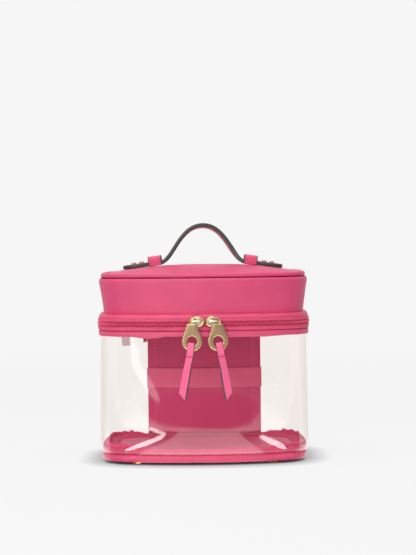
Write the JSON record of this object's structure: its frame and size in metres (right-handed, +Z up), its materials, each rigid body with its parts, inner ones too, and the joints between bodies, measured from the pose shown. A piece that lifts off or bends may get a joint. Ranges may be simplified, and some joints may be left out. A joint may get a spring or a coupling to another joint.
{
  "type": "makeup train case",
  "caption": "Small makeup train case: clear wall, domed leather lid on a rear hinge, two-way zip with pull tabs, strap handle on top and stud feet.",
  "frame": {"origin": "centre of the overall box at the level of the feet", "axes": "+Z up, -Y out of the front where the zip sliders meet, +X to the right seen from the front"},
  "size_m": [0.2032, 0.1472, 0.2261],
  "materials": {
    "pink_leather": "fine grain, satin",
    "piping_leather": "smooth, satin",
    "handle_leather": "satin with black painted edges",
    "tab_leather": "smooth, satin with black painted edges",
    "strap_leather": "satin",
    "lining": "matt",
    "zip_tape": "matt woven",
    "zip_coil": "satin",
    "clear_vinyl": "clear gloss",
    "stiffener_board": "pressed fibre board, matt",
    "foam": "soft foam, matt",
    "pale_gold": "pale gold, satin",
    "brass": "polished",
    "tag_cloth": "matt"
  },
  "bodies": {
    "case": {"base_cover": "pink_leather", "base_board": "stiffener_board", "base_foam": "foam", "floor_lining": "lining", "base_piping": "piping_leather", "foot_front_left": "brass", "foot_front_right": "brass", "foot_rear_left": "brass", "foot_rear_right": "brass", "foot_washer_front_left": "brass", "foot_washer_front_right": "brass", "foot_washer_rear_left": "brass", "foot_washer_rear_right": "brass", "clear_wall": "clear_vinyl", "lower_seam_strip": "piping_leather", "inner_seam_binding": "lining", "back_panel_outer": "pink_leather", "back_panel_stiffener": "stiffener_board", "back_panel_lining": "lining", "brush_strap": "strap_leather", "lower_zip_binding": "piping_leather", "lower_zip_tape": "zip_tape", "lower_zip_chain": "zip_coil", "zip_tape_end_left": "zip_tape", "zip_tape_end_right": "zip_tape", "care_tag": "tag_cloth"},
    "lid": {"upper_zip_chain": "zip_coil", "upper_zip_tape": "zip_tape", "upper_zip_welt": "piping_leather", "lid_band": "pink_leather", "lid_lining": "lining", "lid_piping": "piping_leather", "lid_board": "stiffener_board", "lid_top_panel": "pink_leather", "hinge_flap": "pink_leather", "handle_arch": "handle_leather", "keeper_left": "pink_leather", "keeper_right": "pink_leather"},
    "handle_end_left": {"handle_end_left": "handle_leather", "stud_left_inner": "pale_gold", "stud_left_outer": "pale_gold"},
    "handle_end_right": {"handle_end_right": "handle_leather", "stud_right_inner": "pale_gold", "stud_right_outer": "pale_gold"},
    "slider_left": {"slider_left": "pale_gold"},
    "slider_right": {"slider_right": "pale_gold"},
    "pull_left": {"pull_left": "pale_gold"},
    "pull_right": {"pull_right": "pale_gold"},
    "tab_left": {"pull_tab_left": "tab_leather"},
    "tab_right": {"pull_tab_right": "tab_leather"}
  },
  "joints": [
    {"name": "lid_hinge", "type": "hinge", "parent": "case", "child": "lid", "pos_m": [0, 0.07405, 0.1331], "axis": [-1, 0, 0], "range_deg": [0, 170]},
    {"name": "handle_left_slide", "type": "slide", "parent": "lid", "child": "handle_end_left", "axis": [-0.9913, 0, -0.1316], "range_m": [0, 0.007]},
    {"name": "handle_right_slide", "type": "slide", "parent": "lid", "child": "handle_end_right", "axis": [0.9913, 0, -0.1316], "range_m": [0, 0.007]},
    {"name": "slider_left_travel", "type": "hinge", "parent": "case", "child": "slider_left", "pos_m": [0, 0.20545, 0.1331], "axis": [0, 0, -1], "range_deg": [0, 12]},
    {"name": "slider_right_travel", "type": "hinge", "parent": "case", "child": "slider_right", "pos_m": [0, 0.20545, 0.1331], "axis": [0, 0, 1], "range_deg": [0, 12]},
    {"name": "pull_left_swing", "type": "hinge", "parent": "slider_left", "child": "pull_left", "pos_m": [-0.01066, -0.07118, 0.1354], "axis": [-0.9997, 0.0233, 0], "range_deg": [0, 110]},
    {"name": "pull_right_swing", "type": "hinge", "parent": "slider_right", "child": "pull_right", "pos_m": [0.01363, -0.07105, 0.1354], "axis": [-0.9994, -0.0341, 0], "range_deg": [0, 110]},
    {"name": "tab_left_swing", "type": "hinge", "parent": "pull_left", "child": "tab_left", "pos_m": [-0.01066, -0.07118, 0.1169], "axis": [0.0233, 0.9997, 0], "range_deg": [-17, 25]},
    {"name": "tab_right_swing", "type": "hinge", "parent": "pull_right", "child": "tab_right", "pos_m": [0.01363, -0.07105, 0.1169], "axis": [0.0341, -0.9994, 0], "range_deg": [-19, 22]}
  ],
  "couplings": [
    {"joint": "handle_right_slide", "follows": "handle_left_slide", "ratio": 1}
  ]
}
